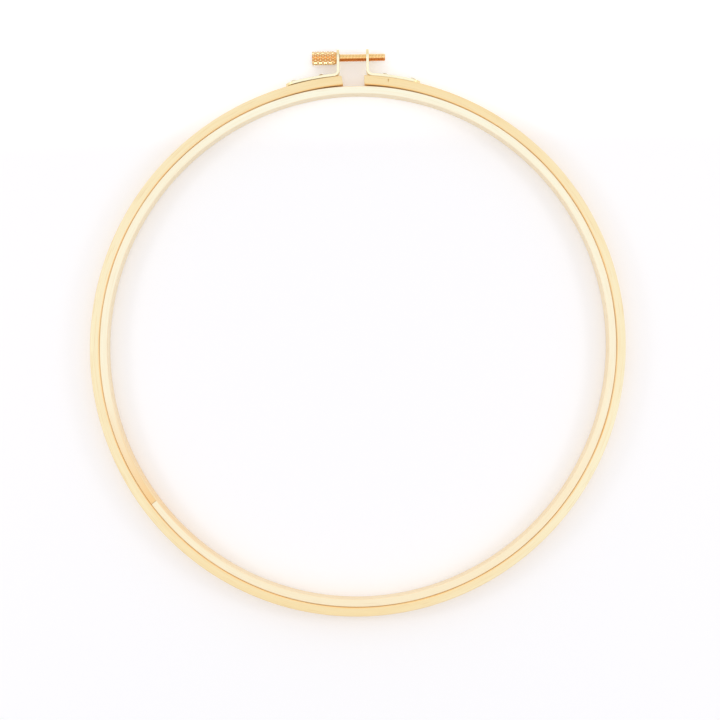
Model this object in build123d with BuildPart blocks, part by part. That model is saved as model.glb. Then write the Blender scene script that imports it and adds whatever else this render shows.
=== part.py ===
from build123d import *
import math
import os

os.makedirs("parts", exist_ok=True)

# Embroidery hoop, lying flat, in millimetres. The rings' common axis is Z and the origin is at
# their centre, half way up their height. The split and the thumb screw are at +Y, and the
# screw's axis runs along X with the knurled head at the left.

# the two bamboo hoops
inner_ring_diameter = 251.6  # over the inner hoop's outer face
inner_ring_thickness = 3.8
outer_ring_thickness = 4.4
ring_height = 10.0
inner_edge_bevel = 0.4  # sanded edges of each strip
outer_edge_bevel = 0.5
ring_clearance = 0.3  # between the hoops, all round

# the split at the top of the outer hoop
end_stand_off = 0.8  # how much further the cut ends stand from the inner hoop
ease_angle = 28.0  # degrees either side of the split where the strip starts to ease away
left_end_overhang = 1.2  # strip beyond the inner face of the left ear
right_end_overhang = 1.1  # the same on the right
left_end_slant = 9.0  # degrees that the left end is cut off square

# the two brass brackets
bracket_thickness = 1.3
bracket_width = 8.0
ear_spacing = 14.3  # between the middles of the two ears
bend_radius = 1.6  # inside the bend
screw_lift = 8.8  # screw axis above the strip's outer face
near_rivet_distance = 8.2  # along the flange, from the ear
far_rivet_distance = 21.6
seat_clearance = 0.02  # between brass and wood, and under a rivet's head and tail

# the thumb screw
shaft_diameter = 3.9
shaft_tail = 7.9  # shaft beyond the outer face of the right ear
shaft_chamfer = 0.4
head_diameter = 6.7
head_length = 11.9
head_chamfer = 0.3  # at the free end
head_taper_length = 1.3  # towards the ear
head_nose_diameter = 5.2
thrust_clearance = 0.05  # between the head and the left ear
turning_clearance = 0.08  # shaft in the plain hole
thread_clearance = 0.2  # shaft in the tapped hole, with the play of a loosened screw

# the four rivets
rivet_diameter = 1.5
rivet_head_diameter = 2.9
rivet_head_height = 0.55
rivet_tail_diameter = 2.6
rivet_tail_height = 0.3
rivet_clearance = 0.03  # round the shank

overrun = 1.0  # how far a cut runs past what it cuts

LEFT = -1
RIGHT = 1

# middle lines of the two strips, seen from above
inner_ring_radius = (inner_ring_diameter - inner_ring_thickness) / 2
outer_ring_radius = inner_ring_diameter / 2 + ring_clearance + outer_ring_thickness / 2

# the ears' inner faces, and how far each cut end lies from the middle of the split
ear_inner_x = (ear_spacing - bracket_thickness) / 2
left_end_x = ear_inner_x - left_end_overhang
right_end_x = ear_inner_x - right_end_overhang

# Each end of the outer hoop follows a flatter arc, tangent to the ring at the ease angle. Its
# radius is the one that brings the strip end_stand_off further out at the split.
ease = math.radians(ease_angle)
eased_length = ease * outer_ring_radius - (left_end_x + right_end_x) / 2
end_radius = 1 / (1 / outer_ring_radius - 2 * end_stand_off / eased_length**2)
end_centre_x = (end_radius - outer_ring_radius) * math.sin(ease)
end_centre_y = (outer_ring_radius - end_radius) * math.cos(ease)
end_sweep = ease_angle - math.degrees(math.asin(end_centre_x / end_radius))
strip_top = end_centre_y + end_radius + outer_ring_thickness / 2
screw_height = strip_top + screw_lift

# The flange lies on the outer face of the end arc and shares its centre. Places along it are
# angles at that centre, counted from +Y.
flange_radius = end_radius + outer_ring_thickness / 2 + seat_clearance
ear_angle = math.asin((ear_spacing / 2 + end_centre_x) / flange_radius)
near_rivet_angle = ear_angle + near_rivet_distance / flange_radius
far_rivet_angle = ear_angle + far_rivet_distance / flange_radius
flange_end_angle = far_rivet_angle + bracket_width / 2 / flange_radius

# the bend touches the ear's inner face and the flange's lower face with its outer radius
outer_bend_radius = bend_radius + bracket_thickness
bend_centre_x = ear_inner_x + outer_bend_radius
bend_reach = flange_radius + outer_bend_radius
bend_angle = math.asin((bend_centre_x + end_centre_x) / bend_reach)
bend_centre_y = end_centre_y + bend_reach * math.cos(bend_angle)


def end_arc_point(angle, radius):
    """A point on one end's arc, as seen from above with that end at the right."""
    return (
        radius * math.sin(angle) - end_centre_x,
        radius * math.cos(angle) + end_centre_y,
    )


def seen_from_above(side):
    """The drawing plane for the right end, or its mirror image for the left end."""
    return Plane(origin=(0, 0, 0), x_dir=(side, 0, 0), z_dir=(0, 0, side))


def across_strip(side, angle, radius):
    """A plane square to the end arc's radius, with its x axis towards the flange's end."""
    x, y = end_arc_point(angle, radius)
    return Plane(
        origin=(side * x, y, 0),
        x_dir=(side * math.cos(angle), -math.sin(angle), 0),
        z_dir=(side * math.sin(angle), math.cos(angle), 0),
    )


def rivet_planes(side, radius):
    """The planes of one end's two rivets."""
    return [across_strip(side, angle, radius) for angle in (near_rivet_angle, far_rivet_angle)]


def corners_outside_round_end(plane):
    """What is cut from a square strip end to leave it half round about the plane's origin."""
    with BuildSketch(plane) as corners:
        Rectangle(
            bracket_width / 2 + overrun,
            bracket_width + 2 * overrun,
            align=(Align.MIN, Align.CENTER),
        )
        Circle(bracket_width / 2, mode=Mode.SUBTRACT)
    return corners.sketch


# inner hoop: one strip bent to a ring and glued
with BuildPart() as inner_hoop:
    with BuildSketch(Plane.XZ) as inner_section:
        with Locations((inner_ring_radius, 0)):
            Rectangle(inner_ring_thickness, ring_height)
        chamfer(inner_section.vertices(), inner_edge_bevel)
    revolve(axis=Axis.Z)

# outer hoop: one strip, split at the top, with ends that ease away from the inner hoop
with BuildPart() as outer_hoop:
    bottom = Plane(origin=(0, -outer_ring_radius, 0), x_dir=(0, -1, 0), z_dir=(-1, 0, 0))
    with BuildSketch(bottom) as ring_section:
        Rectangle(outer_ring_thickness, ring_height)
        chamfer(ring_section.vertices(), outer_edge_bevel)
    revolve(axis=-Axis.Z, revolution_arc=180 - ease_angle)
    eased_start = Plane(
        origin=(-outer_ring_radius * math.sin(ease), outer_ring_radius * math.cos(ease), 0),
        x_dir=(-math.sin(ease), math.cos(ease), 0),
        z_dir=(math.cos(ease), math.sin(ease), 0),
    )
    with BuildSketch(eased_start) as end_section:
        Rectangle(outer_ring_thickness, ring_height)
        chamfer(end_section.vertices(), outer_edge_bevel)
    end_axis = Axis((end_centre_x, end_centre_y, 0), (0, 0, -1))
    revolve(axis=end_axis, revolution_arc=end_sweep)
    mirror(about=Plane.YZ)

    # the split: square at the right end, slanted at the left
    cut_top = strip_top + overrun
    cut_bottom = strip_top - outer_ring_thickness - overrun
    slant = math.tan(math.radians(left_end_slant)) * (cut_top - cut_bottom) / 2
    with BuildSketch(Plane.XY) as split_outline:
        with BuildLine():
            Polyline(
                (-left_end_x - slant, cut_top),
                (right_end_x, cut_top),
                (right_end_x, cut_bottom),
                (-left_end_x + slant, cut_bottom),
                close=True,
            )
        make_face()
    extrude(amount=ring_height / 2 + overrun, both=True, mode=Mode.SUBTRACT)

    # rivet holes through both ends
    with BuildSketch(*rivet_planes(LEFT, end_radius), *rivet_planes(RIGHT, end_radius)):
        Circle(rivet_diameter / 2 + rivet_clearance)
    extrude(amount=outer_ring_thickness / 2 + overrun, both=True, mode=Mode.SUBTRACT)


def formed_bracket(side, hole_clearance):
    """Brass strip bent up to an ear, drawn from above, then given round ends and holes."""
    ear_plane = Plane(
        origin=(side * ear_spacing / 2, screw_height, 0), x_dir=(0, 1, 0), z_dir=(side, 0, 0)
    )
    far_plane = across_strip(side, far_rivet_angle, flange_radius)
    with BuildPart() as bracket:
        with BuildSketch(seen_from_above(side)) as strip_edge:
            with BuildLine():
                ear_top = (ear_inner_x, screw_height + bracket_width / 2)
                ear = Line(ear_top, (ear_inner_x, bend_centre_y))
                bend_end = end_arc_point(bend_angle, flange_radius)
                bend = TangentArc(ear @ 1, bend_end, tangent=ear % 1)
                flange_end = end_arc_point(flange_end_angle, flange_radius)
                TangentArc(bend @ 1, flange_end, tangent=bend % 1)
                offset(amount=bracket_thickness, side=Side.LEFT)
            make_face()
        extrude(amount=bracket_width / 2, both=True)
        for plane in (ear_plane, far_plane):
            extrude(
                corners_outside_round_end(plane),
                amount=bracket_thickness + overrun,
                both=True,
                mode=Mode.SUBTRACT,
            )
        with BuildSketch(ear_plane) as screw_hole:
            Circle(shaft_diameter / 2 + hole_clearance)
        extrude(amount=bracket_thickness, both=True, mode=Mode.SUBTRACT)
        with BuildSketch(*rivet_planes(side, flange_radius)) as rivet_holes:
            Circle(rivet_diameter / 2 + rivet_clearance)
        extrude(amount=bracket_thickness + overrun, both=True, mode=Mode.SUBTRACT)
    return bracket


left_bracket = formed_bracket(LEFT, turning_clearance)
right_bracket = formed_bracket(RIGHT, thread_clearance)

# thumb screw: knurled barrel head with a tapered nose, and the shaft, turned in one piece
ear_outer_x = (ear_spacing + bracket_thickness) / 2
nose_x = -ear_outer_x - thrust_clearance
head_x = nose_x - head_length
tail_x = ear_outer_x + shaft_tail
with BuildPart() as thumb_screw:
    screw_plane = Plane(origin=(0, screw_height, 0))
    with BuildSketch(screw_plane) as turned_profile:
        with BuildLine():
            Polyline(
                (head_x, 0),
                (head_x, head_diameter / 2 - head_chamfer),
                (head_x + head_chamfer, head_diameter / 2),
                (nose_x - head_taper_length, head_diameter / 2),
                (nose_x, head_nose_diameter / 2),
                (nose_x, shaft_diameter / 2),
                (tail_x - shaft_chamfer, shaft_diameter / 2),
                (tail_x, shaft_diameter / 2 - shaft_chamfer),
                (tail_x, 0),
                close=True,
            )
        make_face()
    revolve(axis=Axis((0, screw_height, 0), (1, 0, 0)))


def rivet(plane):
    """A domed head on the flange, a shank through brass and wood, and a flat upset tail."""
    head_seat = bracket_thickness + seat_clearance
    tail_seat = -outer_ring_thickness - 2 * seat_clearance
    tail_end = tail_seat - rivet_tail_height
    apex = head_seat + rivet_head_height
    half_section = Plane(origin=plane.origin, x_dir=plane.z_dir, z_dir=(0, 0, 1))
    with BuildPart() as turned_rivet:
        with BuildSketch(half_section) as rivet_profile:
            with BuildLine():
                Polyline(
                    (apex, 0),
                    (tail_end, 0),
                    (tail_end, rivet_tail_diameter / 2),
                    (tail_seat, rivet_tail_diameter / 2),
                    (tail_seat, rivet_diameter / 2),
                    (head_seat, rivet_diameter / 2),
                    (head_seat, rivet_head_diameter / 2),
                )
                TangentArc((apex, 0), (head_seat, rivet_head_diameter / 2), tangent=(0, 1))
            make_face()
        revolve(axis=Axis(plane.origin, plane.z_dir))
    return turned_rivet


left_near_rivet, left_far_rivet = [rivet(p) for p in rivet_planes(LEFT, flange_radius)]
right_near_rivet, right_far_rivet = [rivet(p) for p in rivet_planes(RIGHT, flange_radius)]

pieces = {
    "inner_hoop": inner_hoop,
    "outer_hoop": outer_hoop,
    "left_bracket": left_bracket,
    "left_near_rivet": left_near_rivet,
    "left_far_rivet": left_far_rivet,
    "right_bracket": right_bracket,
    "right_near_rivet": right_near_rivet,
    "right_far_rivet": right_far_rivet,
    "thumb_screw": thumb_screw,
}
for name, piece in pieces.items():
    piece.part.label = name
    export_step(piece.part, f"parts/{name}.step")
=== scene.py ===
import bpy
import bmesh
import math
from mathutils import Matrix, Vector, noise
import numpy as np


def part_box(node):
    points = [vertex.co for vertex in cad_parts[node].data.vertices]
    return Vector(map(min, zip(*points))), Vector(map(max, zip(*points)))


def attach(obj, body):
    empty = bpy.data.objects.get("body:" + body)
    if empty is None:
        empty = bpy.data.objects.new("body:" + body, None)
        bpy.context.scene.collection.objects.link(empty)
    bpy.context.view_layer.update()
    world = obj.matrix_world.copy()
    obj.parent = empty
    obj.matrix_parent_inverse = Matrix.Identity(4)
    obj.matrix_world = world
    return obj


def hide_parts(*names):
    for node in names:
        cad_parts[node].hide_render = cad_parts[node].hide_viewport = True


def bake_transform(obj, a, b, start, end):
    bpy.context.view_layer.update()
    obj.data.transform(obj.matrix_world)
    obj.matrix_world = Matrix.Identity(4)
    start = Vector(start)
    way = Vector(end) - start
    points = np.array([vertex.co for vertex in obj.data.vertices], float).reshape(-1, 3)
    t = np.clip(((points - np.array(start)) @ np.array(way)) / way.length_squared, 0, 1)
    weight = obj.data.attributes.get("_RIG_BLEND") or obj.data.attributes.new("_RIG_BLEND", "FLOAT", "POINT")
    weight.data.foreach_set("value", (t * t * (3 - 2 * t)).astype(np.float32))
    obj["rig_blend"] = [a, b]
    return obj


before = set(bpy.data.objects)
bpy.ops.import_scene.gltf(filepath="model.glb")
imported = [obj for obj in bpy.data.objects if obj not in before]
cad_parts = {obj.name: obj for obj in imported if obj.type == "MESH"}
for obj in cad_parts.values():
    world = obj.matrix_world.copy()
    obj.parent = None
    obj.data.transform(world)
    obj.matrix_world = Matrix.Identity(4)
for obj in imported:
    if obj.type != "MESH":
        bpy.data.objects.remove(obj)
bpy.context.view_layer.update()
mm = 0.001
up = Vector((0, 0, 1))
print("frame loaded:", sorted(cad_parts))

# the camera looks straight down on the hoop
camera = dict(place=(0.00084, -0.00646, 0.7935), turn=-1.05, lens=81.73, sensor=36, nearest=0.01)
cameraData = bpy.data.cameras.new("photoCamera")
cameraData.lens = camera["lens"]
cameraData.sensor_width = camera["sensor"]
cameraData.clip_start = camera["nearest"]
photoCamera = bpy.data.objects.new("photoCamera", cameraData)
photoCamera.location = camera["place"]
photoCamera.rotation_euler = (0, 0, math.radians(camera["turn"]))
bpy.context.scene.collection.objects.link(photoCamera)
bpy.context.scene.camera = photoCamera
bpy.context.scene.view_settings.view_transform = "Standard"


def startFinish(name):
    finish = bpy.data.materials.new(name)
    finish.use_nodes = True
    tree = finish.node_tree
    tree.nodes.clear()
    shader = tree.nodes.new("ShaderNodeBsdfPrincipled")
    output = tree.nodes.new("ShaderNodeOutputMaterial")
    tree.links.new(shader.outputs["BSDF"], output.inputs["Surface"])
    return finish, tree, shader


def feed(tree, socket, value):
    if isinstance(value, bpy.types.NodeSocket):
        tree.links.new(value, socket)
    elif value is not None:
        socket.default_value = value


def calc(tree, operation, *values):
    step = tree.nodes.new("ShaderNodeMath")
    step.operation = operation
    for socket, value in zip(step.inputs, values):
        feed(tree, socket, value)
    return step.outputs[0]


def mixed(tree, amount, first, second):
    mix = tree.nodes.new("ShaderNodeMix")
    mix.data_type = "RGBA"
    feed(tree, mix.inputs[0], amount)
    feed(tree, mix.inputs[6], first)
    feed(tree, mix.inputs[7], second)
    return mix.outputs[2]


def between(tree, value, start, end, shape="SMOOTHSTEP"):
    # 0 at start, 1 at end
    ramp = tree.nodes.new("ShaderNodeMapRange")
    ramp.interpolation_type = shape
    feed(tree, ramp.inputs["Value"], value)
    feed(tree, ramp.inputs["From Min"], start)
    feed(tree, ramp.inputs["From Max"], end)
    return ramp.outputs[0]


def cloud(tree, place, stretch, detail=2.0, rough=0.5):
    mapping = tree.nodes.new("ShaderNodeMapping")
    feed(tree, mapping.inputs["Vector"], place)
    mapping.inputs["Scale"].default_value = stretch
    field = tree.nodes.new("ShaderNodeTexNoise")
    feed(tree, field.inputs["Vector"], mapping.outputs[0])
    field.inputs["Scale"].default_value = 1.0
    field.inputs["Detail"].default_value = detail
    field.inputs["Roughness"].default_value = rough
    return field.outputs[0]


def patches(tree, place, kind):
    # 1 inside the marks of one kind, 0 between them
    field = cloud(tree, place, kind["stretch"], kind["detail"], kind["rough"])
    return between(tree, field, kind["start"], kind["end"])


def relief(tree, height, distance, strength):
    bump = tree.nodes.new("ShaderNodeBump")
    bump.inputs["Strength"].default_value = strength
    bump.inputs["Distance"].default_value = distance
    feed(tree, bump.inputs["Height"], height)
    return bump.outputs[0]


def grainPlace(tree):
    # metres along the strip, across it and up, as each mesh was given them
    grain = tree.nodes.new("ShaderNodeAttribute")
    grain.attribute_name = "grain"
    parts = tree.nodes.new("ShaderNodeSeparateXYZ")
    feed(tree, parts.inputs[0], grain.outputs["Vector"])
    return grain.outputs["Vector"], parts.outputs


# sizes of the hoops and the split, the same as in the solid parts
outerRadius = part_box("outer_hoop")[1].x
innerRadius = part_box("inner_hoop")[1].x
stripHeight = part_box("outer_hoop")[1].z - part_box("outer_hoop")[0].z
outerThickness = 4.4 * mm
innerThickness = 3.8 * mm
outerMiddle = outerRadius - outerThickness / 2
innerMiddle = innerRadius - innerThickness / 2
split = dict(
    easeAngle=math.radians(28),  # where the outer strip leaves the ring, each side
    standOff=0.8 * mm,  # how much further out its ends stand
    leftEnd=5.3 * mm,  # from the middle of the split to each cut end
    rightEnd=5.4 * mm,
    leftSlant=math.radians(9),
)
easedLength = split["easeAngle"] * outerMiddle - (split["leftEnd"] + split["rightEnd"]) / 2
endRadius = 1 / (1 / outerMiddle - 2 * split["standOff"] / easedLength**2)
endCentreX = (endRadius - outerMiddle) * math.sin(split["easeAngle"])
endCentreY = (outerMiddle - endRadius) * math.cos(split["easeAngle"])


def onEndArc(side, angle, radius):
    # a point on the flatter arc of one end, side -1 left and 1 right, and the way out there
    out = Vector((side * math.sin(angle), math.cos(angle), 0))
    return Vector((-side * endCentreX, endCentreY, 0)) + out * radius, out


# bamboo: slow drift between pale and honey round the ring, streaks, and single darker fibres; on the outer hoop
# the drift is partly painted sheen, paler at the sides, and partly the wood's own tone
outerBamboo = dict(
    pale=(0.955, 0.865, 0.610, 1),
    honey=(0.925, 0.720, 0.385, 1),
    fibre=(0.780, 0.520, 0.220, 1),
    yellowest=math.radians(-12),  # turn from the split at which the strip is yellowest, with the least painted sheen
    waves=2,  # times that it goes from yellow to pale and back round the ring; the pale sides are painted sheen
    swing=0.45,
    skin=0.45,  # how much stronger the fibres get towards the outer face
    rimShadeTone=(0.985, 0.600, 0.220, 1),
    rimShadeOutside=0.35,  # painted shade: browner edges where warm shade falls, on the outer side and at the gap
    rimShadeInside=0.80,
    roughness=0.50,
)
innerBamboo = dict(
    pale=(0.960, 0.925, 0.750, 1),
    honey=(0.955, 0.825, 0.580, 1),
    fibre=(0.830, 0.640, 0.380, 1),
    yellowest=math.radians(190),
    waves=1,
    swing=0.42,
    skin=0.25,
    rimShadeTone=(0.990, 0.690, 0.370, 1),
    rimShadeOutside=0.60,
    rimShadeInside=0.38,
    roughness=0.48,
)
# the marks in both kinds of bamboo; each stretch is how fine they are along, across and up
bambooMarks = dict(
    drift=(14, 260, 90),
    driftSwing=0.9,
    streaks=dict(stretch=(30, 1700, 1700), detail=3.0, rough=0.62, start=0.45, end=0.75),
    streakStrength=0.5,
    fibres=dict(stretch=(70, 4200, 4200), detail=1.0, rough=0.4, start=0.60, end=0.74),
    fibreStrength=0.3,
    rimPatches=(60, 500, 500),
    rimSwing=1.2,
    rimLeast=0.3,
    rimStart=0.55 * mm,  # the painted edge shade starts this far in and is full this far in
    rimFull=0.12 * mm,
    fine=(150, 9000, 9000),
    fineDetail=2.0,
    fineRough=0.6,
    sunkFibres=-0.4,
    glossSwing=0.2,
    reliefDepth=0.03 * mm,
    reliefStrength=0.6,
    shine=0.35,
)
scarf = dict(
    butt=math.radians(126.3),  # turn from the split at which the outer layer is cut square
    length=math.radians(27),  # how far back from there the layers part at the inner face
    innerLayer=0.8 * mm,  # the thin layer that runs on inside the butt
    colour=(0.925, 0.590, 0.240, 1),
    line=(0.500, 0.280, 0.100, 1),
    soaked=70 * mm,  # how far from the butt the thin layer is tinted
    soakedStrength=0.5,
    strength=0.9,
    fade=1.1,
    layerStart=-0.05 * mm,  # the darker wood fades in over the thin layer's edge
    layerFull=0.15 * mm,
    glueFrom=0.16 * mm,
    glueTo=0.02 * mm,
    glueStrength=0.18,
    layerEdge=0.1 * mm,
    buttFrom=0.24 * mm,
    buttTo=0.06 * mm,
    buttStrength=0.6,
)


def bambooFinish(name, look, middle, thickness, start=0.0, joint=None):
    finish, tree, shader = startFinish(name)
    marks = bambooMarks
    place, parts = grainPlace(tree)
    along, across = parts[0], parts[1]
    # the slow drift round the ring; on the outer hoop it is partly painted sheen, paler at the sides
    turn = calc(tree, "MULTIPLY_ADD", along, 1 / middle, start)
    toneAndSheenWave = calc(tree, "MULTIPLY", calc(tree, "SUBTRACT", turn, look["yellowest"]), look["waves"])
    toneAndSheenWave = calc(tree, "MULTIPLY_ADD", calc(tree, "COSINE", toneAndSheenWave), look["swing"], 0.5)
    drift = cloud(tree, place, marks["drift"])
    drift = calc(tree, "MULTIPLY_ADD", drift, marks["driftSwing"], -marks["driftSwing"] / 2)
    honey = between(tree, calc(tree, "ADD", toneAndSheenWave, drift), 0, 1, "LINEAR")
    colour = mixed(tree, honey, look["pale"], look["honey"])

    streaks = calc(tree, "MULTIPLY", patches(tree, place, marks["streaks"]), marks["streakStrength"])
    colour = mixed(tree, streaks, colour, look["honey"])
    fibres = patches(tree, place, marks["fibres"])
    skinSide = between(tree, across, -thickness / 2, thickness / 2, "LINEAR")
    strength = calc(tree, "MULTIPLY_ADD", skinSide, look["skin"], marks["fibreStrength"])
    colour = mixed(tree, calc(tree, "MULTIPLY", fibres, strength), colour, look["fibre"])
    if joint:
        colour = scarfColours(tree, colour, along, across, joint)
    uneven = cloud(tree, place, marks["rimPatches"])
    uneven = calc(tree, "MULTIPLY_ADD", uneven, marks["rimSwing"], marks["rimLeast"])
    rimStart = thickness / 2 - marks["rimStart"]
    rimFull = thickness / 2 - marks["rimFull"]
    # painted shade: the edges are mixed towards a warm brown, for the shade on the outer side and in the gap
    for edge, strength in ((1, look["rimShadeOutside"]), (-1, look["rimShadeInside"])):
        rim = between(tree, across, edge * rimStart, edge * rimFull)
        rim = calc(tree, "MULTIPLY", calc(tree, "MULTIPLY", rim, strength), uneven)
        colour = mixed(tree, rim, colour, look["rimShadeTone"])

    fine = cloud(tree, place, marks["fine"], marks["fineDetail"], marks["fineRough"])
    raised = calc(tree, "MULTIPLY_ADD", fibres, marks["sunkFibres"], fine)
    swing = marks["glossSwing"]
    rough = calc(tree, "MULTIPLY_ADD", fine, swing, look["roughness"] - swing / 2)
    feed(tree, shader.inputs["Base Color"], colour)
    feed(tree, shader.inputs["Roughness"], rough)
    feed(tree, shader.inputs["Normal"], relief(tree, raised, marks["reliefDepth"], marks["reliefStrength"]))
    shader.inputs["Specular IOR Level"].default_value = marks["shine"]
    return finish


def scarfColours(tree, colour, along, across, joint):
    # darker wood that fades back from the butt, over the thin pale layer inside it
    span = innerMiddle * joint["length"]
    whole = 2 * math.pi * innerMiddle
    share = between(tree, along, whole - span, whole, "LINEAR")
    layer = calc(tree, "MULTIPLY", share, joint["innerLayer"])
    beyond = calc(tree, "SUBTRACT", calc(tree, "ADD", across, innerThickness / 2), layer)
    outside = between(tree, beyond, joint["layerStart"], joint["layerFull"])
    amount = calc(tree, "MULTIPLY", calc(tree, "POWER", share, joint["fade"]), outside)
    colour = mixed(tree, calc(tree, "MULTIPLY", amount, joint["strength"]), colour, joint["colour"])
    glue = between(tree, calc(tree, "ABSOLUTE", beyond), joint["glueFrom"], joint["glueTo"])
    glue = calc(tree, "MULTIPLY", glue, calc(tree, "MULTIPLY", share, joint["glueStrength"]))
    colour = mixed(tree, glue, colour, joint["line"])
    fromButt = calc(tree, "MINIMUM", along, calc(tree, "SUBTRACT", whole, along))
    fromInside = calc(tree, "ADD", across, innerThickness / 2)
    thin, soft = joint["innerLayer"], joint["layerEdge"]
    inLayer = between(tree, fromInside, thin - soft, thin + soft)
    # the thin layer has taken up some glue too, on both sides of the butt
    soaked = between(tree, fromButt, joint["soaked"], 0)
    soaked = calc(tree, "MULTIPLY", soaked, joint["soakedStrength"])
    soaked = calc(tree, "MULTIPLY", soaked, calc(tree, "SUBTRACT", 1, inLayer))
    colour = mixed(tree, soaked, colour, joint["colour"])
    butt = calc(tree, "MULTIPLY", between(tree, fromButt, joint["buttFrom"], joint["buttTo"]), inLayer)
    return mixed(tree, calc(tree, "MULTIPLY", butt, joint["buttStrength"]), colour, joint["line"])


bambooOuter = bambooFinish("outerBamboo", outerBamboo, outerMiddle, outerThickness)
bambooInner = bambooFinish(
    "innerBamboo", innerBamboo, innerMiddle, innerThickness, start=scarf["butt"], joint=scarf
)

# brass: fine lines from rolling or turning, tarnish in spots and in the grooves, and a painted dark reflection
# on the shaft
screwBrass = dict(
    colour=(0.995, 0.850, 0.530, 1),
    # on the screw this tarnish colour also paints the shaft's dark reflection
    tarnish=(0.780, 0.330, 0.080, 1),
    lines=(7000, 60, 900),  # how fine the marks are along, across and up the grain
    roughness=0.15,
    spots=0.15,
)
bracketBrass = dict(
    colour=(0.930, 0.790, 0.460, 1),
    edge=(0.905, 0.855, 0.640, 1),  # painted highlight: the long sheared edges are paler, as white light overhead would show them, from this far off the middle
    edgeStart=3.80 * mm,
    edgeFull=3.95 * mm,
    tarnish=(0.700, 0.560, 0.300, 1),
    lines=(90, 6000, 6000),
    roughness=0.40,
    spots=0.22,
)
rivetBrass = dict(
    colour=(0.760, 0.680, 0.480, 1),
    tarnish=(0.420, 0.350, 0.220, 1),
    lines=(1800, 1800, 1800),
    roughness=0.42,
    spots=0.55,
)
brassMarks = dict(
    detail=2.0,
    rough=0.6,
    spots=dict(stretch=(420, 420, 420), detail=3.0, rough=0.6, start=0.50, end=0.78),
    grooveFade=1.5,
    grooveStrength=0.95,
    glossSwing=0.16,
    dullSwing=0.08,
    reliefDepth=0.01 * mm,
    reliefStrength=0.5,
)


def brassFinish(name, look):
    finish, tree, shader = startFinish(name)
    place, parts = grainPlace(tree)
    groove = tree.nodes.new("ShaderNodeAttribute")
    groove.attribute_name = "groove"  # tarnish: 0 on the crests, 1 at the bottom of a cut; on the shaft it also holds the painted dark reflection
    lines = cloud(tree, place, look["lines"], brassMarks["detail"], brassMarks["rough"])
    tarnishAndDarkReflection = calc(tree, "MULTIPLY", patches(tree, place, brassMarks["spots"]), look["spots"])
    inGroove = calc(tree, "POWER", groove.outputs["Fac"], brassMarks["grooveFade"])
    tarnishAndDarkReflection = calc(tree, "MAXIMUM", tarnishAndDarkReflection, calc(tree, "MULTIPLY", inGroove, brassMarks["grooveStrength"]))
    colour = look["colour"]
    if "edge" in look:
        # painted highlight: the long edges are mixed towards paler brass
        paintedEdgeHighlight = between(tree, calc(tree, "ABSOLUTE", parts[1]), look["edgeStart"], look["edgeFull"])
        colour = mixed(tree, paintedEdgeHighlight, colour, look["edge"])
    feed(tree, shader.inputs["Base Color"], mixed(tree, tarnishAndDarkReflection, colour, look["tarnish"]))
    swing = brassMarks["glossSwing"]
    rough = calc(tree, "MULTIPLY_ADD", lines, swing, look["roughness"] - swing / 2)
    rough = calc(tree, "MULTIPLY_ADD", tarnishAndDarkReflection, brassMarks["dullSwing"], rough)
    feed(tree, shader.inputs["Roughness"], rough)
    raised = relief(tree, lines, brassMarks["reliefDepth"], brassMarks["reliefStrength"])
    feed(tree, shader.inputs["Normal"], raised)
    shader.inputs["Metallic"].default_value = 1.0
    return finish


brassScrew = brassFinish("screwBrass", screwBrass)
brassBracket = brassFinish("bracketBrass", bracketBrass)
brassRivet = brassFinish("rivetBrass", rivetBrass)
print("finishes made")


def startMesh():
    build = bmesh.new()
    build.loops.layers.float_vector.new("grain")
    build.verts.layers.float.new("groove")
    return build


def addFace(build, corners, grains):
    layer = build.loops.layers.float_vector["grain"]
    face = build.faces.new(corners)
    for loop, grain in zip(face.loops, grains):
        loop[layer] = grain
    return face


def joinRows(build, rows, grains):
    # quads between each closed row of vertices and the next
    for first, second, firstGrain, secondGrain in zip(rows, rows[1:], grains, grains[1:]):
        for here in range(len(first)):
            there = (here + 1) % len(first)
            addFace(
                build,
                (first[here], first[there], second[there], second[here]),
                (firstGrain[here], firstGrain[there], secondGrain[there], secondGrain[here]),
            )


def finishPiece(build, name, material, body, replaced, smoothAngle=40):
    bmesh.ops.recalc_face_normals(build, faces=build.faces)
    mesh = bpy.data.meshes.new(name)
    build.to_mesh(mesh)
    build.free()
    mesh.shade_smooth()
    mesh.set_sharp_from_angle(angle=math.radians(smoothAngle))
    piece = bpy.data.objects.new(name, mesh)
    bpy.context.scene.collection.objects.link(piece)
    mesh.materials.append(material)
    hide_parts(replaced)
    if body:
        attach(piece, body)
    return piece


def stripSection(thickness, height, rounding, inset=0.0):
    # points round the strip's section, as (out, up) with the way off the surface (out, up)
    cornerSteps, flatSteps = 5, 8
    halfOut, halfUp = thickness / 2 - inset, height / 2 - inset
    signs = ((1, 1), (-1, 1), (-1, -1), (1, -1))
    arcs = []
    for quarter, (sideOut, sideUp) in enumerate(signs):
        arc = []
        for step in range(cornerSteps + 1):
            angle = math.pi / 2 * (quarter + step / cornerSteps)
            normal = Vector((math.cos(angle), math.sin(angle)))
            middle = Vector((sideOut * (halfOut - rounding), sideUp * (halfUp - rounding)))
            arc.append((middle + normal * rounding, normal))
        arcs.append(arc)
    section = []
    for quarter, arc in enumerate(arcs):
        section += arc
        last, normal = arc[-1]
        following = arcs[(quarter + 1) % 4][0][0]
        section += [(last.lerp(following, step / flatSteps), normal) for step in range(1, flatSteps)]
    return section


# bent strips are never quite round: both hoops are pressed in a little, most at one pair of
# opposite places and least a quarter of a turn away
oval = dict(widest=math.radians(-21), pressed=0.60 * mm)  # widest, as a turn from the split


def pressedIn(turn):
    return oval["pressed"] * (1 - math.cos(2 * (turn - oval["widest"])))


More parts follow.
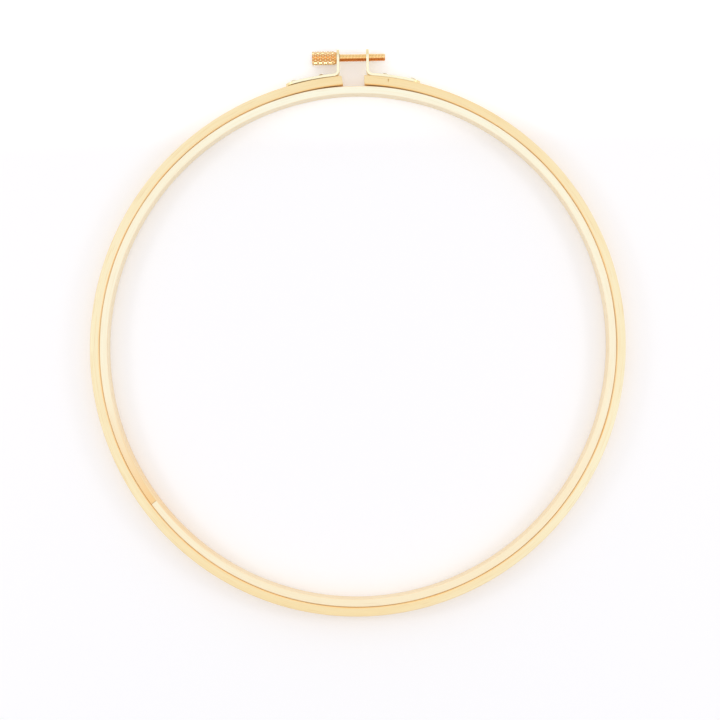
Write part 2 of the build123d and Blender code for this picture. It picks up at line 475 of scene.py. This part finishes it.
# the outer hoop, one strip from the left cut end round to the right one
outerHoop = dict(
    rounding=0.42 * mm,  # sanded edges
    step=1.2 * mm,  # between the sections along the strip
    worn=0.06 * mm,  # what hand sanding took off, more here and less there
    edgeWorn=0.10 * mm,
    endRounding=0.25 * mm,
    closer=0.13 * mm,  # how much nearer to the inner hoop it comes than nominal all round
    leaning=0.10 * mm,  # and how much more in places
    leaningPlaces=18,  # how many such places to the metre
    leaningShift=Vector((2, 5, 9)),
    leaningEnd=math.radians(150),  # turn from opposite the split at which they have faded out
    leaningFade=math.radians(20),
    closest=math.radians(90),  # the turn from the split at which the two touch most
    closestStrength=0.7,
    closestPower=10,
    thinner=0.11 * mm,  # the strip tapers from one side of the ring to the other by twice this
    thinnest=math.radians(-60),
    thinnerFade=math.radians(40),  # the taper starts at the split and is full this far round
    cutLead=1.0 * mm,  # from the last whole section to the cut end
    cutSteps=4,
)
# a small nick across the top face by the right near rivet
nick = dict(
    angle=math.radians(8.8),
    side=0.55 * mm,  # from the strip's middle line to the nick's, outwards
    length=1.35 * mm,
    width=0.6 * mm,
    depth=0.9 * mm,
    fade=0.3 * mm,  # it runs out over this length at both ends
)
# sanding takes off more here and less there; how many places to the metre
sanding = dict(faces=45, edges=28, edgesShift=Vector((7, 3, 1)))


def outerStations():
    # (middle of the strip, way out, turn from the split), with more of them at the nick
    stations = []
    arcStep = outerHoop["step"] / outerMiddle
    for side in (-1, 1):
        end = split["leftEnd"] if side < 0 else split["rightEnd"]
        cutAngle = math.asin((end + endCentreX) / endRadius) + outerHoop["cutLead"] / endRadius
        count = math.ceil((split["easeAngle"] - cutAngle) / arcStep)
        angles = [cutAngle + (split["easeAngle"] - cutAngle) * k / count for k in range(count + 1)]
        if side > 0:
            angles += [nick["angle"] + nick["width"] / endRadius * k / 4 for k in range(-3, 4)]
        for angle in sorted(angles, reverse=side > 0):
            point, out = onEndArc(side, angle, endRadius)
            stations.append((point, out, math.atan2(-point.x, point.y) % (2 * math.pi)))
        if side < 0:
            sweep = 2 * math.pi - 2 * split["easeAngle"]
            count = math.ceil(sweep / arcStep)
            for k in range(1, count):
                turn = split["easeAngle"] + sweep * k / count
                out = Vector((-math.sin(turn), math.cos(turn), 0))
                stations.append((out * outerMiddle, out, turn))
    return stations


def sanded(point, section, worn, edgeWorn):
    # how far below its nominal surface the wood is at this point
    rough = 0.5 + 0.5 * noise.noise(point * sanding["faces"])
    corner = 1 - max(abs(section.x), abs(section.y)) ** 6
    edge = 0.5 + 0.5 * noise.noise(point * sanding["edges"] + sanding["edgesShift"])
    return worn * rough + edgeWorn * edge * corner


def stripRow(build, station, section, look, dent):
    middle, out, turn = station
    middle = middle - out * pressedIn(turn)
    row = []
    for place, normal in section:
        point = middle + out * place.x + up * place.y
        depth = sanded(point, normal, look["worn"], look["edgeWorn"]) + dent(station, place, normal)
        point -= (out * normal.x + up * normal.y) * depth
        row.append(build.verts.new(point))
    return row


def stripGrain(station, section, radius):
    return [(station[2] * radius, place.x, place.y) for place, _ in section]


def outerDent(station, place, normal):
    # the nick is cut in, and the inner face comes nearer to the inner hoop in places
    depth = 0.0
    middle, _, turn = station
    if normal.y > 0.9:  # only the top face
        nickMiddle = onEndArc(1, nick["angle"], endRadius)[0]
        beside = (middle - nickMiddle).length
        beyond = abs(place.x - nick["side"]) - nick["length"] / 2
        if beside < nick["width"] / 2 and beyond < 0:
            depth += nick["depth"] * (1 - 2 * beside / nick["width"]) * min(1, -beyond / nick["fade"])
    fromFarSide = abs(math.pi - turn)
    if normal.x < 0:
        ring = (fromFarSide - outerHoop["leaningEnd"]) / -outerHoop["leaningFade"]
        ring = min(1, max(0, ring))
        shifted = middle * outerHoop["leaningPlaces"] + outerHoop["leaningShift"]
        leaning = 0.5 + 0.5 * noise.noise(shifted)
        touching = max(0, math.cos(turn - outerHoop["closest"])) ** outerHoop["closestPower"]
        leaning = min(1, leaning + outerHoop["closestStrength"] * touching)
        closer = outerHoop["closer"] + outerHoop["leaning"] * leaning * ring
        depth -= closer * normal.x**4  # the rounded edges stay where they are
    if normal.x > 0.5:  # the taper is all on the outer face
        awayFromSplit = min(1, (math.pi - fromFarSide) / outerHoop["thinnerFade"])
        depth += outerHoop["thinner"] * (1 + math.cos(turn - outerHoop["thinnest"])) * awayFromSplit
    return depth


def cutEnd(build, station, look, side):
    # rows that round the strip over into its cut end, the nearest to the strip first
    middle, out, turn = station
    middle = middle - out * pressedIn(turn)
    travel = up.cross(out) * side
    if side < 0:
        cutPoint = Vector((-split["leftEnd"], endCentreY + endRadius, 0))
        cutNormal = Vector((math.cos(split["leftSlant"]), math.sin(split["leftSlant"]), 0))
    else:
        cutPoint = Vector((split["rightEnd"], 0, 0))
        cutNormal = Vector((1, 0, 0))
    rows, grains = [], []
    for step in range(look["cutSteps"] + 1):
        angle = math.pi / 2 * step / look["cutSteps"]
        inset = look["endRounding"] * (1 - math.cos(angle))
        back = look["endRounding"] * (1 - math.sin(angle))
        section = stripSection(outerThickness, stripHeight, look["rounding"], inset)
        row = []
        for place, normal in section:
            point = middle + out * place.x + up * place.y
            depth = sanded(point, normal, look["worn"], look["edgeWorn"])
            point -= (out * normal.x + up * normal.y) * depth
            reach = (cutPoint - point).dot(cutNormal) / travel.dot(cutNormal)
            row.append(build.verts.new(point + travel * (reach - back)))
        rows.append(row)
        grains.append(stripGrain(station, section, outerMiddle))
    return rows, grains


build = startMesh()
stations = outerStations()
section = stripSection(outerThickness, stripHeight, outerHoop["rounding"])
rows = [stripRow(build, station, section, outerHoop, outerDent) for station in stations]
grains = [stripGrain(station, section, outerMiddle) for station in stations]
leftRows, leftGrains = cutEnd(build, stations[0], outerHoop, -1)
rightRows, rightGrains = cutEnd(build, stations[-1], outerHoop, 1)
rows = leftRows[::-1] + rows + rightRows
grains = leftGrains[::-1] + grains + rightGrains
joinRows(build, rows, grains)
addFace(build, rows[0], grains[0])
addFace(build, rows[-1], grains[-1])
outerPiece = finishPiece(build, "outer_strip", bambooOuter, None, "outer_hoop")
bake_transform(outerPiece, "left_clamp", "outer", start=(-0.004, -outerMiddle, 0), end=(0.004, -outerMiddle, 0))
print("outer hoop made:", len(outerPiece.data.polygons), "faces")

# the inner hoop, one strip whose ends overlap in a glued scarf joint
innerHoop = dict(
    rounding=0.36 * mm,
    step=1.2 * mm,
    worn=0.06 * mm,
    edgeWorn=0.08 * mm,
    buttWidth=0.24 * mm,  # the fine groove where the outer layer ends
    buttDepth=0.16 * mm,
    springsOut=0.22 * mm,  # at the split, where the outer strip doesn't hold it in
    springsPower=40,
)


def innerDent(station, place, normal):
    # the fine groove across the outer layer at the butt
    past = (station[2] - scarf["butt"]) % (2 * math.pi) * innerMiddle
    beside = min(past, 2 * math.pi * innerMiddle - past)
    if beside > innerHoop["buttWidth"] / 2 or place.x < scarf["innerLayer"] - innerThickness / 2:
        return 0.0
    return innerHoop["buttDepth"] * (1 - 2 * beside / innerHoop["buttWidth"])


build = startMesh()
count = math.ceil(2 * math.pi * innerMiddle / innerHoop["step"])
pasts = [2 * math.pi * k / count for k in range(count)]
fineStep = innerHoop["buttWidth"] / 4 / innerMiddle
pasts += [fineStep * k for k in (1, 2, 3)] + [2 * math.pi - fineStep * k for k in (3, 2, 1)]
section = stripSection(innerThickness, stripHeight, innerHoop["rounding"])
rows, grains = [], []
for past in sorted(pasts):
    turn = scarf["butt"] + past
    out = Vector((-math.sin(turn), math.cos(turn), 0))
    springsOut = innerHoop["springsOut"] * max(0, math.cos(turn)) ** innerHoop["springsPower"]
    station = (out * (innerMiddle + springsOut), out, turn)
    rows.append(stripRow(build, station, section, innerHoop, innerDent))
    grains.append([(past * innerMiddle, place.x, place.y) for place, _ in section])
rows.append(rows[0])
grains.append([(2 * math.pi * innerMiddle, place.x, place.y) for place, _ in section])
joinRows(build, rows, grains)
innerPiece = finishPiece(build, "inner_strip", bambooInner, "inner", "inner_hoop")
print("inner hoop made:", len(innerPiece.data.polygons), "faces")

# the two brackets, each a brass strip bent up to an ear
bracket = dict(
    thickness=1.3 * mm,
    width=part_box("left_bracket")[1].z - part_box("left_bracket")[0].z,
    earSpacing=14.3 * mm,
    bendRadius=1.6 * mm,
    nearRivet=8.2 * mm,  # along the flange, from the ear
    farRivet=21.6 * mm,
    seat=0.02 * mm,
    leftHole=2.03 * mm,
    rightHole=2.15 * mm,
    rivetHole=0.78 * mm,
    edgeRounding=0.14 * mm,
    edgeSegments=3,
    edgeAngle=math.radians(50),  # only edges sharper than this are rounded
    bendSteps=12,
    flangeSteps=4,
    holeSides=48,
    holeRings=3,
    besideBend=1.2 * mm,  # short cells before the bend and after it
)
screwHeight = (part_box("thumb_screw")[0].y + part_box("thumb_screw")[1].y) / 2
flangeRadius = endRadius + outerThickness / 2 + bracket["seat"]
outerBend = bracket["bendRadius"] + bracket["thickness"]
earInner = (bracket["earSpacing"] - bracket["thickness"]) / 2
earTop = screwHeight + bracket["width"] / 2
bendCentreX = earInner + outerBend
bendAngle = math.asin((bendCentreX + endCentreX) / (flangeRadius + outerBend))
bendCentreY = endCentreY + (flangeRadius + outerBend) * math.cos(bendAngle)
earLength = earTop - bendCentreY
bendLength = outerBend * (math.pi / 2 - bendAngle)
earAngle = math.asin((bracket["earSpacing"] / 2 + endCentreX) / flangeRadius)
rivetAngles = [earAngle + bracket[which] / flangeRadius for which in ("nearRivet", "farRivet")]
rivetsAlong = [earLength + bendLength + (angle - bendAngle) * flangeRadius for angle in rivetAngles]


def onBracket(side, along, across, lift):
    # where a point of the flat strip goes when it is formed; lift is counted off the wood's side
    if along <= earLength:
        point, way = Vector((earInner, earTop - along, 0)), Vector((1, 0, 0))
    elif along <= earLength + bendLength:
        angle = (along - earLength) / outerBend
        way = Vector((math.cos(angle), math.sin(angle), 0))
        point = Vector((bendCentreX, bendCentreY, 0)) - way * outerBend
    else:
        point, way = onEndArc(1, bendAngle + (along - earLength - bendLength) / flangeRadius, flangeRadius)
    point = point + way * lift
    return Vector((side * point.x, point.y, across))


def roundHole(cells, along, hole, roundEnd):
    # cells between a hole and the strip's edges; roundEnd is -1 at the ear, 1 at the flange's end
    half = bracket["width"] / 2
    sides, rings = bracket["holeSides"], bracket["holeRings"]

    def spot(step, ring):
        angle = 2 * math.pi * step / sides
        way = Vector((math.cos(angle), math.sin(angle)))
        reach = half if way.x * roundEnd > 1e-6 else half / max(abs(way.x), abs(way.y))
        return Vector((along, 0)) + way * (hole + (reach - hole) * ring / rings)

    for step in range(sides):
        after = step + 1
        for ring in range(rings):
            cells.append([spot(step, ring), spot(after, ring), spot(after, ring + 1), spot(step, ring + 1)])


def flatCells(holeRadius):
    # the whole strip before bending, as cells of four corners
    half = bracket["width"] / 2
    cells = []
    roundHole(cells, half, holeRadius, -1)
    roundHole(cells, rivetsAlong[0], bracket["rivetHole"], 0)
    roundHole(cells, rivetsAlong[1], bracket["rivetHole"], 1)
    # the columns meet the corners that the round holes' cells have on their square sides
    column = 360 / bracket["holeSides"]
    columns = [half * math.tan(math.radians(column * k)) for k in range(-6, 7)]
    steps = bracket["bendSteps"]
    bendRows = [earLength + bendLength * k / steps for k in range(steps + 1)]
    bend = [2 * half, 2 * half + bracket["besideBend"]] + bendRows
    bend += [bendRows[-1] + bracket["besideBend"], rivetsAlong[0] - half]
    flange = rivetsAlong[1] - rivetsAlong[0] - 2 * half
    steps = bracket["flangeSteps"]
    betweenRivets = [rivetsAlong[0] + half + flange * k / steps for k in range(steps + 1)]
    for stretch in (bend, betweenRivets):
        for start, end in zip(stretch, stretch[1:]):
            for low, high in zip(columns, columns[1:]):
                corners = ((start, low), (start, high), (end, high), (end, low))
                cells.append([Vector(corner) for corner in corners])
    return cells


def formBracket(side, holeRadius, name, body, replaced):
    build = startMesh()
    spots = {}
    grid = 0.001 * mm  # corners nearer than this are one

    def corner(spot, lift):
        key = (round(spot.x / grid), round(spot.y / grid), lift > 0)
        if key not in spots:
            spots[key] = build.verts.new(onBracket(side, spot.x, spot.y, lift))
        return spots[key]

    for cell in flatCells(holeRadius):
        for lift in (0, bracket["thickness"]):
            corners = [corner(spot, lift) for spot in cell]
            addFace(build, corners, [(spot.x, spot.y, lift) for spot in cell])
    # the walls between the two faces, round the outline and the holes
    rim = [edge for edge in build.edges if edge.is_boundary]
    place = {vert: key for key, vert in spots.items()}
    for edge in rim:
        first, second = edge.verts
        if place[first][2]:
            continue
        above = [spots[place[vert][:2] + (True,)] for vert in (second, first)]
        keys = [place[first], place[second], place[second], place[first]]
        lifts = [0, 0, bracket["thickness"], bracket["thickness"]]
        grains = [(key[0] * grid, key[1] * grid, lift) for key, lift in zip(keys, lifts)]
        addFace(build, [first, second] + above, grains)
    piece = finishPiece(build, name, brassBracket, body, replaced)
    edges = piece.modifiers.new("brokenEdges", "BEVEL")
    edges.width = bracket["edgeRounding"]
    edges.segments = bracket["edgeSegments"]
    edges.limit_method = "ANGLE"
    edges.angle_limit = bracket["edgeAngle"]
    edges.harden_normals = True
    return piece


formBracket(-1, bracket["leftHole"], "left_clamp_bracket", "left_clamp", "left_bracket")
formBracket(1, bracket["rightHole"], "right_clamp_bracket", "outer", "right_bracket")
print("brackets formed")

# four rivets, each turned about its own axis
rivet = dict(
    shank=0.75 * mm,
    head=1.85 * mm,
    headHeight=1.15 * mm,
    tail=1.9 * mm,
    tailHeight=0.3 * mm,
    rim=0.08 * mm,  # the head's edge stands up this far
    drawnIn=0.02 * mm,  # and is this much narrower where it meets the brass
    domeSteps=10,
    tailChamfer=0.1 * mm,
    tailRise=0.03 * mm,  # the tail is a little hollow, half way in and at its middle
    tailHollow=0.05 * mm,
    sides=40,
)


def turnPiece(build, profile, steps, origin, axis, across):
    # turns (along the axis, radius) points round the axis, with a single vertex at each end
    third = axis.cross(across)
    rows, grains = [], []
    for height, radius in profile[1:-1]:
        row, grain = [], []
        for step in range(steps):
            angle = 2 * math.pi * step / steps
            way = across * math.cos(angle) + third * math.sin(angle)
            row.append(build.verts.new(origin + axis * height + way * radius))
            grain.append((height, angle * radius, radius))
        rows.append(row)
        grains.append(grain)
    joinRows(build, rows, grains)
    for end in (0, -1):
        row, grain, height = rows[end], grains[end], profile[end][0]
        tip = build.verts.new(origin + axis * height)
        for here in range(steps):
            there = (here + 1) % steps
            addFace(build, (row[here], row[there], tip), (grain[here], grain[there], (height, 0, 0)))


def rivetProfile():
    seat = bracket["thickness"] + bracket["seat"]
    tailSeat = -outerThickness - 2 * bracket["seat"]
    tailEnd = tailSeat - rivet["tailHeight"]
    rise = rivet["headHeight"] - rivet["rim"]
    ball = (rivet["head"] ** 2 + rise**2) / (2 * rise)
    widest = math.asin(rivet["head"] / ball)
    dome = []
    for step in range(rivet["domeSteps"] + 1):
        angle = widest * step / rivet["domeSteps"]
        dome.append((seat + rivet["headHeight"] - ball * (1 - math.cos(angle)), ball * math.sin(angle)))
    return dome + [
        (seat, rivet["head"] - rivet["drawnIn"]),
        (seat, rivet["shank"]),
        (tailSeat, rivet["shank"]),
        (tailSeat, rivet["tail"]),
        (tailEnd + rivet["tailChamfer"], rivet["tail"]),
        (tailEnd, rivet["tail"] - rivet["tailChamfer"]),
        (tailEnd + rivet["tailRise"], rivet["tail"] / 2),
        (tailEnd + rivet["tailHollow"], 0.0),
    ]


for side, body, word in ((-1, "left_clamp", "left"), (1, "outer", "right")):
    for angle, spot in zip(rivetAngles, ("near", "far")):
        build = startMesh()
        origin, out = onEndArc(side, angle, flangeRadius)
        turnPiece(build, rivetProfile(), rivet["sides"], origin, out, up)
        name, replaced = f"{word}_{spot}_clench_rivet", f"{word}_{spot}_rivet"
        finishPiece(build, name, brassRivet, body, replaced, smoothAngle=35)
print("rivets set")

# thumb screw: knurled head, tapered nose and threaded shaft
screw = dict(
    headLeft=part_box("thumb_screw")[0].x,
    headRight=-7.85 * mm,
    headRadius=(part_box("thumb_screw")[1].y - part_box("thumb_screw")[0].y) / 2,
    chamfer=0.3 * mm,
    taper=1.3 * mm,
    noseRadius=2.6 * mm,
    ridges=12,  # round the head, in each of the two crossing directions
    ridgePitch=2.4 * mm,  # along the head
    ridgeDepth=0.72 * mm,
    ridgeFlat=1.15,  # over 1 it leaves the diamonds a flat top
    stepsPerRidge=8,
    rowsPerPitch=16,
    shaftRadius=1.95 * mm,
    tail=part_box("thumb_screw")[1].x,
    tailChamfer=0.4 * mm,
    threadPitch=0.7 * mm,
    threadDepth=0.30 * mm,
    threadRoot=0.12,  # the flat at the root and the flank, as shares of half a turn
    threadFlank=0.74,
    threadShade=1.6,  # how many times its depth the thread would need to tarnish fully
    threadSides=48,
    rowsPerTurn=12,
    darkReflectionTurn=math.radians(160),  # round the shaft from the far side, where the painted dark reflection is strongest
    darkReflectionEdge=0.35,
    darkReflectionFade=0.45,
    shaftInside=1 * mm,  # how far inside the head the shaft starts
    # the turned end faces, as rings of (how far in, radius) from the rim to the middle
    freeFace=((0, 2.85 * mm), (0, 1.6 * mm), (0.05 * mm, 0.5 * mm), (0.12 * mm, 0)),
    noseFace=((0, 2.5 * mm), (0, 2.1 * mm), (0, 0)),
    shaftFace=((0, 0.8 * mm), (0, 0)),
    tailFace=((0, 1.1 * mm), (0, 0.4 * mm), (0, 0)),
)
headSteps = screw["stepsPerRidge"] * screw["ridges"]


def triangleWave(value):
    # 0 at whole numbers, 1 half way between them
    return 1 - abs(2 * (value % 1) - 1)


def knurlRadius(x, angle):
    oneWay = screw["ridges"] * angle / (2 * math.pi) + x / screw["ridgePitch"]
    otherWay = screw["ridges"] * angle / (2 * math.pi) - x / screw["ridgePitch"]
    height = min(1, screw["ridgeFlat"] * min(triangleWave(oneWay), triangleWave(otherWay)))
    return screw["headRadius"] - screw["ridgeDepth"] * (1 - height)


def threadRadius(x, angle):
    # a right-hand thread with narrow flats at crest and root
    height = 1 - triangleWave(x / screw["threadPitch"] - angle / (2 * math.pi))
    height = min(1, max(0, (height - screw["threadRoot"]) / screw["threadFlank"]))
    return screw["shaftRadius"] - screw["threadDepth"] * (1 - height)


def turnedRows(build, places, steps, radiusAt, grooveDepth, nominal, darkReflection=None):
    # rows round the screw at the given places along it, with how dark each point is: tarnish in the cuts and,
    # on the shaft, painted dark reflection
    rows, grains = [], []
    deep = build.verts.layers.float["groove"]
    for x in places:
        row, grain = [], []
        for step in range(steps):
            angle = 2 * math.pi * step / steps
            radius = radiusAt(x, angle)
            vert = build.verts.new((x, screwHeight + radius * math.cos(angle), radius * math.sin(angle)))
            vert[deep] = min(1, max(0, (nominal - radius) / grooveDepth, darkReflection(angle) if darkReflection else 0))
            row.append(vert)
            grain.append((x, angle * nominal, radius))
        rows.append(row)
        grains.append(grain)
    joinRows(build, rows, grains)
    return rows, grains


def closeEnd(build, row, grain, end, rings):
    # a turned end face, from the rim to the middle, each ring so far in from the end
    for depth, radius in rings[:-1]:
        inner, innerGrain = [], []
        for step in range(len(row)):
            angle = 2 * math.pi * step / len(row)
            high, wide = radius * math.cos(angle), radius * math.sin(angle)
            inner.append(build.verts.new((end + depth, screwHeight + high, wide)))
            innerGrain.append((radius, 0, angle * 0.1 * mm))
        joinRows(build, [row, inner], [grain, innerGrain])
        row, grain = inner, innerGrain
    tip = build.verts.new((end + rings[-1][0], screwHeight, 0))
    for here in range(len(row)):
        there = (here + 1) % len(row)
        addFace(build, (row[here], row[there], tip), (grain[here], grain[there], (0, 0, 0)))


def headRadiusAt(x, angle):
    fromFree = x - screw["headLeft"]
    fromNose = screw["headRight"] - x
    outline = screw["headRadius"]
    if fromFree < screw["chamfer"]:
        outline -= screw["chamfer"] - fromFree
    if fromNose < screw["taper"]:
        outline -= (screw["headRadius"] - screw["noseRadius"]) * (1 - fromNose / screw["taper"])
    return min(outline, knurlRadius(x, angle))


def darkReflectionAt(angle):
    # painted reflection: the side of the shaft towards the hoop is darker, standing in for the shaded wood that
    # it mirrors
    facing = math.cos(angle - screw["darkReflectionTurn"])
    return min(1, max(0, (facing - screw["darkReflectionEdge"]) / screw["darkReflectionFade"]))


def shaftRadiusAt(x, angle):
    radius = threadRadius(x, angle)
    fromTail = screw["tail"] - x
    if fromTail < screw["tailChamfer"]:
        radius = min(radius, screw["shaftRadius"] - screw["tailChamfer"] + fromTail)
    return radius


build = startMesh()
headLength = screw["headRight"] - screw["headLeft"]
count = round(headLength / (screw["ridgePitch"] / screw["rowsPerPitch"]))
places = [screw["headLeft"] + headLength * k / count for k in range(count + 1)]
rows, grains = turnedRows(build, places, headSteps, headRadiusAt, screw["ridgeDepth"], screw["headRadius"])
closeEnd(build, rows[0], grains[0], screw["headLeft"], screw["freeFace"])
closeEnd(build, rows[-1], grains[-1], screw["headRight"], screw["noseFace"])
shaftStart = screw["headRight"] - screw["shaftInside"]
shaftLength = screw["tail"] - shaftStart
count = round(shaftLength / (screw["threadPitch"] / screw["rowsPerTurn"]))
places = [shaftStart + shaftLength * k / count for k in range(count + 1)]
shade = screw["threadShade"] * screw["threadDepth"]
rows, grains = turnedRows(
    build, places, screw["threadSides"], shaftRadiusAt, shade, screw["shaftRadius"], darkReflectionAt
)
closeEnd(build, rows[0], grains[0], shaftStart, screw["shaftFace"])
closeEnd(build, rows[-1], grains[-1], screw["tail"], screw["tailFace"])
screwPiece = finishPiece(
    build, "thumb_screw_turned", brassScrew, "screw", "thumb_screw", smoothAngle=28
)
print("thumb screw turned:", len(screwPiece.data.polygons), "faces")

# pale board under the hoop
board = dict(
    size=30.0,
    tone=(0.926, 0.921, 0.955, 1),
    lift=0.05,  # how much brighter it looks than the light on it
    paintedLightAtTop=0.19,  # and more towards and round the screw: painted light that washes out the shadows there, rising between these places along Y
    liftStart=0.095,
    liftEnd=0.123,
    roughness=0.9,
    shine=0.1,
)
build = bmesh.new()
bmesh.ops.create_grid(build, x_segments=2, y_segments=2, size=board["size"] / 2)
boardMesh = bpy.data.meshes.new("paleBoard")
build.to_mesh(boardMesh)
build.free()
paleBoard = bpy.data.objects.new("paleBoard", boardMesh)
paleBoard.location.z = -stripHeight / 2
bpy.context.scene.collection.objects.link(paleBoard)
finish, tree, shader = startFinish("boardPaper")
rays = tree.nodes.new("ShaderNodeLightPath")
seen = calc(tree, "MAXIMUM", rays.outputs["Is Camera Ray"], rays.outputs["Is Glossy Ray"])
seen = calc(tree, "MAXIMUM", seen, rays.outputs["Is Transmission Ray"])
feed(tree, shader.inputs["Base Color"], board["tone"])
feed(tree, shader.inputs["Emission Color"], (1, 1, 1, 1))
boardPlace = tree.nodes.new("ShaderNodeTexCoord").outputs["Object"]
boardParts = tree.nodes.new("ShaderNodeSeparateXYZ")
feed(tree, boardParts.inputs[0], boardPlace)
# painted light: the board is lifted more towards the screw, washing out the shadows there
lift = between(tree, boardParts.outputs[1], board["liftStart"], board["liftEnd"])
lift = calc(tree, "MULTIPLY_ADD", lift, board["paintedLightAtTop"] - board["lift"], board["lift"])
feed(tree, shader.inputs["Emission Strength"], calc(tree, "MULTIPLY", seen, lift))
shader.inputs["Roughness"].default_value = board["roughness"]
shader.inputs["Specular IOR Level"].default_value = board["shine"]
boardMesh.materials.append(finish)

# soft light from the whole sky, brightest straight up, darker low down and towards -Y, and a
# lamp at each side
sky = dict(
    colour=(1.0, 0.995, 0.985, 1),
    horizon=0.83,
    overhead=0.965,
    overheadFrom=0.05,  # these are heights in the sky, 0 at the horizon and 1 straight up
    overheadTo=0.75,
    top=1.70,
    topFrom=0.965,
    topTo=0.990,
    near=0.72,  # the share of light that is left low down towards -Y
    nearFrom=0.85,
    nearTo=0.45,
    nearWidth=0.5,
)
world = bpy.data.worlds.new("softSky")
bpy.context.scene.world = world
world.use_nodes = True
tree = world.node_tree
tree.nodes.clear()
direction = tree.nodes.new("ShaderNodeTexCoord").outputs["Generated"]
parts = tree.nodes.new("ShaderNodeSeparateXYZ")
feed(tree, parts.inputs[0], direction)
level = between(tree, parts.outputs[2], sky["overheadFrom"], sky["overheadTo"])
level = calc(tree, "MULTIPLY_ADD", level, sky["overhead"] - sky["horizon"], sky["horizon"])
brightPatch = between(tree, parts.outputs[2], sky["topFrom"], sky["topTo"])
level = calc(tree, "MULTIPLY_ADD", brightPatch, sky["top"] - sky["overhead"], level)
low = between(tree, parts.outputs[2], sky["nearFrom"], sky["nearTo"])
nearSide = calc(tree, "MULTIPLY", low, between(tree, parts.outputs[1], 0.0, -sky["nearWidth"]))
level = calc(tree, "MULTIPLY", level, calc(tree, "MULTIPLY_ADD", nearSide, sky["near"] - 1, 1))
background = tree.nodes.new("ShaderNodeBackground")
background.inputs["Color"].default_value = sky["colour"]
feed(tree, background.inputs["Strength"], level)
output = tree.nodes.new("ShaderNodeOutputWorld")
tree.links.new(background.outputs[0], output.inputs["Surface"])

lamps = dict(distance=0.9, height=math.radians(39), towardsTop=math.radians(4), power=0.58, size=0.22)
for side, word in ((-1, "left"), (1, "right")):
    lampData = bpy.data.lights.new(f"{word}Lamp", "AREA")
    lampData.shape = "DISK"
    lampData.size = lamps["size"]
    lampData.energy = lamps["power"]
    lamp = bpy.data.objects.new(f"{word}Lamp", lampData)
    flat = Vector((side * math.cos(lamps["towardsTop"]), math.sin(lamps["towardsTop"]), 0))
    way = flat * math.cos(lamps["height"]) + up * math.sin(lamps["height"])
    lamp.location = way * lamps["distance"]
    lamp.rotation_euler = (-way).to_track_quat("-Z", "Y").to_euler()
    bpy.context.scene.collection.objects.link(lamp)
print("board, sky and lamps placed")
